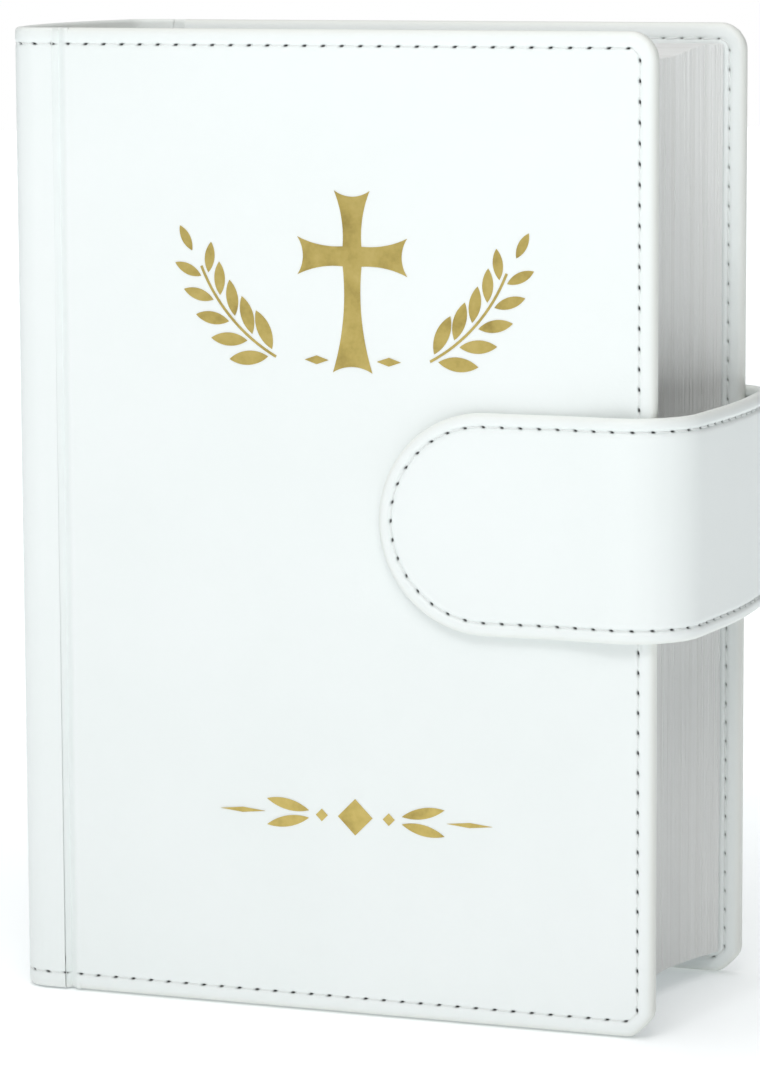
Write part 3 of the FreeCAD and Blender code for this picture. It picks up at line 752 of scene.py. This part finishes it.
def fold_paper(side, name, block_body):
    """The endpaper's fold, from the first leaf of the block to the paste-down."""
    low, high = box_mm(f"{name}_endpaper_fold")
    builder = Builder()
    rows = []
    for i in range(FOLD_STEPS + 1):
        t = i / FOLD_STEPS
        x = low[0] + (high[0] - low[0]) * t
        y = FOLD_Y + FOLD_SHIFT * smooth(t)
        row = []
        for depth, heights in ((FOLD_HALF_THICK, (low[2], high[2])), (-FOLD_HALF_THICK, (high[2], low[2]))):
            for k in range(FOLD_ROWS + 1):
                z = heights[0] + (heights[1] - heights[0]) * k / FOLD_ROWS
                row.append(builder.point(Vector((x, side * (y + depth), z))))
        rows.append(row)
    builder.grid(rows, closed=True)
    builder.faces.append(tuple(rows[0][::-1]))
    builder.faces.append(tuple(rows[-1]))
    paper = builder.piece(f"{name}_hinge_paper", ENDPAPER, "endpaper")
    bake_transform(paper)
    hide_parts(f"{name}_endpaper_fold")


def make_sheet(node, name, body, side, inner_sheet, waves):
    """A sheet of endpaper in its CAD solid's place, with slight waves."""
    low, high = box_mm(node)
    near, far = sorted((abs(low[1]), abs(high[1])))
    length, width = high[0] - low[0], high[2] - low[2]

    def place(u, v, height):
        wave = waves * noise.noise(Vector((u * 0.03, v * 0.022, 5.0 + side)))
        return Vector((low[0] + u, side * (near + wave - height * (far - near)), low[2] + v))

    border = Border(length, width, 1.0 if inner_sheet else 1.6, 0.0)
    sheet = stitched_skin(name, place, border, 1.0, ENDPAPER, "endpaper", roll=0.2, seam_inset=0.0, hole=0.0,
                          last=1.2, edge_shade_share=0.0)
    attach(sheet, body)
    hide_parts(node)


# ---------------------------------------------------------------- spine

def spine_path():
    """The case's outer face in plan, from the front joint round both shoulders to the back joint."""
    to_apex = SHOULDER_RADIUS + SPINE_ROUND
    across = FACE - SHOULDER_RADIUS
    radius = (to_apex ** 2 + across ** 2 - SHOULDER_RADIUS ** 2) / (2 * (to_apex - SHOULDER_RADIUS))
    meets = math.asin(across / (radius - SHOULDER_RADIUS))
    shoulder = math.pi / 2 - meets
    path = Path((JOINT_X, -FACE), math.pi)
    path.advance(JOINT_X - SHOULDER_X)
    path.advance(SHOULDER_RADIUS * shoulder, -shoulder)
    path.advance(radius * 2 * meets, -2 * meets)
    path.advance(SHOULDER_RADIUS * shoulder, -shoulder)
    path.advance(JOINT_X - SHOULDER_X)
    return path


CARD_HALF_SPAN, CARD_DEPTH, CARD_THICK = 21.0, 0.74, 0.6
GAUZE_HALF_SPAN, GAUZE_OUT, GAUZE_THICK = 22.5, 0.36, 0.28
GAUZE_Z = (18.0, 152.0)


def blend_over_spine(piece):
    """Bakes the piece's placement into its mesh; the piece stays where it is built."""
    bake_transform(piece)


def make_spine():
    path = spine_path()

    def place(u, v, height):
        point, normal = path.at(u)
        return point + normal * height + Vector((0.0, 0.0, v))

    def ribs(u, v):
        """Two faint ridges where the card under the skin ends, beside each joint."""
        near = min(u, path.length - u)
        return 0.07 * bump_at(near - 3.4, 0.8) - 0.05 * bump_at(near - 5.6, 0.9)

    border = Border(path.length, HEIGHT, 0.0, SEAM_INSET, open_end=True)
    skin = stitched_skin(
        "spine_skin", place, border, SPINE_SKIN, LEATHER, "cover_leather", roll=SPINE_ROLL,
        inner_pocket=(TURN_IN - 2.0, -0.7), relief=ribs, coarse=1, rows=22, edge_shade_share=0.6)
    blend_over_spine(skin)
    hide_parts("spine_leather")
    threads = Builder()
    stitch_line(threads, place, border, SEAM_INSET, -COVER_THREAD_LEVEL, 1.0)
    thread = threads.piece("spine_thread", THREAD, "thread")
    blend_over_spine(thread)
    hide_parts("spine_stitching")


def arc_slab(name, half_span, outer_x, low, high, thickness, material, slot, replaced, wrinkle=0.0):
    """A thin curved layer behind the spine. outer_x(y) gives its outer face in plan."""
    builder = Builder()
    across, up = 56, 30
    faces = []
    for depth in (0.0, thickness):
        rows = []
        for i in range(across + 1):
            y = -half_span + 2 * half_span * i / across
            row = []
            for k in range(up + 1):
                z = low + (high - low) * k / up
                ripple = wrinkle * noise.noise(Vector((y * 0.4, z * 0.25, 3.0)))
                row.append(builder.point(Vector((outer_x(y) + depth + ripple, y, z))))
            rows.append(row)
        builder.grid(rows)
        faces.append(rows)
    loops = []
    for rows in faces:
        loop = [row[0] for row in rows] + rows[-1][1:] + [row[-1] for row in rows[-2::-1]] + rows[0][-2:0:-1]
        loops.append(loop)
    builder.grid(loops, closed=True)
    piece = builder.piece(name, material, slot)
    blend_over_spine(piece)
    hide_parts(replaced)


def block_spine_x(y):
    return BLOCK_SPINE_X - BLOCK_SPINE_ROUND * (1 - (y / BLOCK_HALF) ** 2)


def case_inner_x(y, depth):
    """The case's spine at a depth under its outer face, for |y| inside the shoulders."""
    to_apex = SHOULDER_RADIUS + SPINE_ROUND
    across = FACE - SHOULDER_RADIUS
    radius = (to_apex ** 2 + across ** 2 - SHOULDER_RADIUS ** 2) / (2 * (to_apex - SHOULDER_RADIUS))
    centre_x = SHOULDER_X - to_apex + radius
    return centre_x - math.sqrt((radius - depth) ** 2 - y ** 2)


def make_head_band(node, name):
    """A wrapped cord glued to the back of the block at the head or the tail."""
    low, high = box_mm(node)
    radius = (high[2] - low[2]) / 2
    middle = (high[2] + low[2]) / 2
    half_span = high[1] - 0.3
    wraps, per_wrap = 44, 6
    stations = []
    count = wraps * per_wrap
    for i in range(count + 1):
        y = -half_span + 2 * half_span * i / count
        swell = 0.5 - 0.5 * math.cos(2 * math.pi * i / per_wrap)
        centre = Vector((block_spine_x(y) + 1.1, y, middle))
        ahead = Vector((block_spine_x(y + 0.1) - block_spine_x(y), 0.1, 0.0)).normalized()
        across = Vector((0.0, 0.0, 1.0)).cross(ahead)
        stations.append((centre, across, Vector((0.0, 0.0, 1.0)), radius * (0.8 + 0.18 * swell)))
    builder = Builder()
    builder.tube(stations, sides=12)
    band = builder.piece(name, BAND, "head_band_cloth")
    blend_over_spine(band)
    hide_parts(node)


# ---------------------------------------------------------------- pages

def fore_x(y):
    return BLOCK_FORE_X - BLOCK_FORE_HOLLOW * (1 - (y / BLOCK_HALF) ** 2)


def make_pages(side, name, body, sections):
    """Half of the block as bundles of thin leaves, each cut and lying a little differently."""
    builder = Builder()
    bundles = 104
    up = 18
    gap = 0.012
    first = 0.05
    thick = (BLOCK_HALF - first) / bundles
    for i in range(bundles):
        near = first + thick * i
        far = near + thick - gap
        middle = side * (near + far) / 2
        fore = fore_x(middle) + random.uniform(-0.05, 0.05)
        dip = 1 - smooth((abs(middle) - DIP_HALF_WIDTH) / DIP_FADE)
        head = BLOCK_HEAD + BLOCK_HEAD_RISE - BLOCK_HEAD_DIP * dip + random.uniform(-0.12, 0.12)
        tail = BLOCK_TAIL + random.uniform(-0.08, 0.10)
        back = block_spine_x(middle) + random.uniform(-0.03, 0.03)
        rows = []
        for y in (near, far):
            columns = []
            for x_place in range(2):
                column = []
                for k in range(up + 1):
                    z = tail + (head - tail) * k / up
                    sway = 0.05 * noise.noise(Vector((i * 0.35, z * 0.05, side * 4.0))) if x_place else 0.0
                    column.append(builder.point(Vector((fore + sway if x_place else back, side * y, z))))
                columns.append(column)
            rows.append(columns)
        (near_back, near_fore), (far_back, far_fore) = rows
        loop = [near_back, near_fore, far_fore, far_back]
        for k in range(up):
            for one, other in zip(loop, loop[1:] + loop[:1]):
                builder.faces.append((one[k], other[k], other[k + 1], one[k + 1]))
        builder.faces.append(tuple(column[0] for column in loop))
        builder.faces.append(tuple(column[-1] for column in loop))
    pages = builder.piece(name, PAPER, "bible_paper", sharp_degrees=30.0)
    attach(pages, body)
    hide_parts(*sections)


# ---------------------------------------------------------------- strap

def strap_path():
    """The middle of the strap's two plies in plan, from its root behind to its tip in front."""
    behind = FACE + STRAP_PLY
    front = behind + 0.3
    leaves, bend, loop = 41.0, (61.6, 30.7), (63.8, 0.0)
    return path_through(
        [(16.0, behind), (leaves, behind), bend, loop, (bend[0], -bend[1]), (leaves, -front), (8.6, -front)],
        [40.0, 11.0, 130.0, 11.0, 40.0])


def strap_middle(path):
    """The length at which the strap crosses the middle of the fore edge."""
    low, high = 0.0, path.length
    for _ in range(60):
        guess = (low + high) / 2
        if path.at(guess)[0].y > 0:
            low = guess
        else:
            high = guess
    return low


def make_strap_part(name, going, bend, tip_radius, replaced):
    """The strap from the middle of the fore edge to one end, going forwards or backwards along it."""
    path = strap_path()
    middle = strap_middle(path)
    length = path.length - middle if going > 0 else middle

    def place(u, v, height):
        point, normal = path.at(middle + going * (u - LAP))
        rise = STRAP_RISE * (1 - smooth((u - STRAP_RISE_STARTS) / STRAP_RISE_LENGTH))
        return point + normal * (STRAP_PLY + height) + Vector((0.0, 0.0, STRAP_Z + v + rise))

    def inner(u, v, height):
        return place(u, v + LINING_INSET, height - 2 * STRAP_PLY + LINING_RECESS)

    def lift(u, v):
        return 0.05 * noise.noise(Vector((u * 0.06, v * 0.08, 9.0)))

    start, end = (Vector((*point, 0.0)) * MM for point in bend)
    border = Border(length, STRAP_WIDTH, tip_radius, STRAP_SEAM_INSET)
    leather, lining, stitching = replaced
    skin = stitched_skin(
        f"strap_{name}_skin", place, border, 2 * STRAP_PLY, LEATHER, "cover_leather", roll=1.08,
        seam_inset=STRAP_SEAM_INSET, groove=0.38, ridge=0.1, hole_reach=0.34,
        inner_pocket=(LINING_INSET - 0.1, -0.3), relief=lift, coarse=2, rows=9, edge_shade_share=0.7)
    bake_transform(skin)
    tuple(start)
    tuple(end)
    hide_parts(*leather)
    cloth_border = Border(
        length - LINING_INSET, STRAP_WIDTH - 2 * LINING_INSET, max(tip_radius - LINING_INSET, 0.6), 0.0)
    cloth = stitched_skin(
        f"strap_{name}_lining_cloth", inner, cloth_border, LINING_THICK, LINING, "strap_lining", roll=0.15,
        seam_inset=0.0, hole=0.0, last=0.8, coarse=2, rows=7, edge_shade_share=0.0)
    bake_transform(cloth)
    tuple(start)
    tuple(end)
    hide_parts(*lining)
    threads = Builder()
    stitch_line(threads, place, border, STRAP_SEAM_INSET, -STRAP_THREAD_LEVEL, 1.0)
    stitch_line(threads, place, border, STRAP_SEAM_INSET, STRAP_THREAD_LEVEL - 2 * STRAP_PLY, -1.0)
    thread = threads.piece(f"strap_{name}_thread", THREAD, "thread")
    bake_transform(thread)
    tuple(start)
    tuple(end)
    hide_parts(*stitching)


def make_strap():
    make_strap_part(
        "rear", -1, ((51.0, 30.5), (62.5, 19.0)), 3.0,
        (["strap_root_leather", "strap_middle_leather"], ["strap_root_lining", "strap_middle_lining"],
         ["strap_root_stitching", "strap_middle_stitching"]))
    make_strap_part(
        "front", 1, ((62.5, -19.0), (51.0, -30.5)), STRAP_WIDTH / 2,
        (["strap_tip_leather"], ["strap_tip_lining"], ["strap_tip_stitching"]))


# ---------------------------------------------------------------- camera, light and floor

FORE_SIDE = Vector((0.93, 0.35, -0.05)).normalized()
SPINE_SIDE = Vector((-1.0, 0.2, 0.0)).normalized()
OVERHEAD = Vector((0.0, 0.0, 1.0))

# towards each side: the cosine where the room starts to change, and its brightness straight ahead
FORE_STARTS, FORE_SHARE = -0.2, 0.12
SPINE_STARTS, SPINE_SHARE = 0.2, 0.5
OVERHEAD_STARTS, OVERHEAD_SHARE = 0.4, 2.8
ROOM_LIGHT = 0.40

FLOOR_RADIUS = 3.0
FLOOR_GAP = 0.0003


def make_camera():
    """The camera stands to the right of the front cover, a little above it."""
    yaw, pitch, roll = (math.radians(degrees) for degrees in (21.071, 8.029, -0.278))
    forward = Vector((-math.sin(yaw) * math.cos(pitch), math.cos(yaw) * math.cos(pitch), -math.sin(pitch)))
    right = forward.cross(Vector((0.0, 0.0, 1.0))).normalized()
    up = right.cross(forward)
    level_right = right * math.cos(roll) + up * math.sin(roll)
    level_up = up * math.cos(roll) - right * math.sin(roll)
    data = bpy.data.cameras.new("camera")
    data.sensor_fit = "VERTICAL"
    data.sensor_height = 36.0
    data.lens = 153.32
    camera = bpy.data.objects.new("camera", data)
    turned = Matrix((level_right, level_up, -forward)).transposed()
    camera.matrix_world = Matrix.Translation((0.28836, -0.7541, 0.19309)) @ turned.to_4x4()
    bpy.context.scene.collection.objects.link(camera)
    bpy.context.scene.camera = camera


def room_share(nodes, links, direction, towards, starts, share):
    """How bright the room is in each direction: 1, changing to a share straight towards one side."""
    facing = nodes.new("ShaderNodeVectorMath")
    facing.operation = "DOT_PRODUCT"
    facing.inputs[1].default_value = towards
    links.new(direction, facing.inputs[0])
    fall = nodes.new("ShaderNodeMapRange")
    fall.interpolation_type = "SMOOTHSTEP"
    for socket, value in (("From Min", starts), ("From Max", 1.0), ("To Min", 1.0), ("To Max", share)):
        fall.inputs[socket].default_value = value
    links.new(facing.outputs["Value"], fall.inputs["Value"])
    return fall.outputs["Result"]


def make_room():
    """A soft white room, dark behind the fore edge, darker beyond the spine and brighter overhead.
    What is seen past the book is plain white."""
    world = bpy.data.worlds.new("studio")
    bpy.context.scene.world = world
    world.use_nodes = True
    nodes, links = world.node_tree.nodes, world.node_tree.links
    direction = nodes.new("ShaderNodeTexCoord").outputs["Generated"]
    behind = room_share(nodes, links, direction, FORE_SIDE, FORE_STARTS, FORE_SHARE)
    beyond = room_share(nodes, links, direction, SPINE_SIDE, SPINE_STARTS, SPINE_SHARE)
    above = room_share(nodes, links, direction, OVERHEAD, OVERHEAD_STARTS, OVERHEAD_SHARE)

    def combined(operation, first, second):
        made = nodes.new("ShaderNodeMath")
        made.operation = operation
        links.new(first, made.inputs[0])
        if isinstance(second, float):
            made.inputs[1].default_value = second
        else:
            links.new(second, made.inputs[1])
        return made.outputs[0]

    sides = combined("MULTIPLY", behind, beyond)
    lit = combined("MULTIPLY", combined("MULTIPLY", sides, above), ROOM_LIGHT)
    camera_ray = nodes.new("ShaderNodeLightPath").outputs["Is Camera Ray"]
    links.new(combined("MAXIMUM", camera_ray, lit), nodes["Background"].inputs["Strength"])
    nodes["Background"].inputs["Color"].default_value = (1.0, 1.0, 1.0, 1.0)


def make_lamp(name, kind, place, towards, energy, colour, **settings):
    data = bpy.data.lights.new(name, kind)
    data.energy = energy
    data.color = colour
    for setting, value in settings.items():
        setattr(data, setting, value)
    lamp = bpy.data.objects.new(name, data)
    lamp.location = place
    lamp.rotation_euler = (Vector(towards) - Vector(place)).to_track_quat("-Z", "Y").to_euler()
    bpy.context.scene.collection.objects.link(lamp)


def make_light():
    """The room, a distant lamp high in front, one straight above, and a small panel near the fore edge."""
    bpy.context.scene.view_settings.view_transform = "Standard"
    make_room()
    make_lamp("high_lamp", "SUN", (-0.1, -0.72, 0.80), (0.0, 0.0, 0.085), 0.20, (0.94, 0.97, 1.0),
              angle=math.radians(3.0))
    make_lamp("top_lamp", "SUN", (0.0, 0.0, 1.0), (0.0, 0.0, 0.0), 0.5, (0.97, 0.99, 1.0),
              angle=math.radians(20.0))
    make_lamp("near_panel", "AREA", (0.12, -0.33, 0.38), (0.03, 0.0, 0.14), 0.50, (1.0, 1.0, 1.0), size=0.22)


def make_floor():
    mesh = bpy.data.meshes.new("floor")
    work = bmesh.new()
    bmesh.ops.create_circle(work, cap_ends=True, segments=96, radius=FLOOR_RADIUS)
    work.to_mesh(mesh)
    work.free()
    floor = bpy.data.objects.new("floor", mesh)
    floor.location = (0.0, 0.0, CAD_BOUNDS[0][2] - FLOOR_GAP)
    mesh.materials.append(floor_finish())
    bpy.context.scene.collection.objects.link(floor)


# ---------------------------------------------------------------- the book

make_camera()
make_light()
make_floor()

CAD_FINISHES = {
    "front_board": BOARD, "back_board": BOARD, "keeper_plate": STEEL, "strap_magnet": MAGNET,
    "cross_foil": GOLD, "divider_foil": GOLD}
for node, material in CAD_FINISHES.items():
    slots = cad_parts[node].material_slots
    if not slots:
        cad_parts[node].data.materials.append(material)
    for material_slot in slots:
        material_slot.material = material

for side, name, block_body in ((-1, "front", "front_block"), (1, "back", "root")):
    make_cover(side, name)
    make_joint(side, name, block_body)
    fold_paper(side, name, block_body)
    make_sheet(f"{name}_pastedown", f"{name}_paste_down_paper", f"{name}_cover", side, True, 0.0)
    make_sheet(f"{name}_flyleaf", f"{name}_loose_leaf", f"{name}_leaf", side, False, 0.05)

make_spine()
arc_slab("spine_card", CARD_HALF_SPAN, lambda y: case_inner_x(y, CARD_DEPTH), BLOCK_TAIL, BLOCK_HEAD,
         CARD_THICK, BOARD, "greyboard", "spine_stiffener")
arc_slab("spine_gauze", GAUZE_HALF_SPAN, lambda y: block_spine_x(y) - GAUZE_OUT, *GAUZE_Z,
         GAUZE_THICK, MULL, "mull_cloth", "spine_mull", wrinkle=0.05)
make_head_band("head_band", "head_band_cord")
make_head_band("tail_band", "tail_band_cord")

make_pages(-1, "front_pages", "front_block", [f"front_section_{i:02d}" for i in range(1, 7)])
make_pages(1, "rear_pages", "root", [f"rear_section_{i:02d}" for i in range(1, 7)])
make_strap()
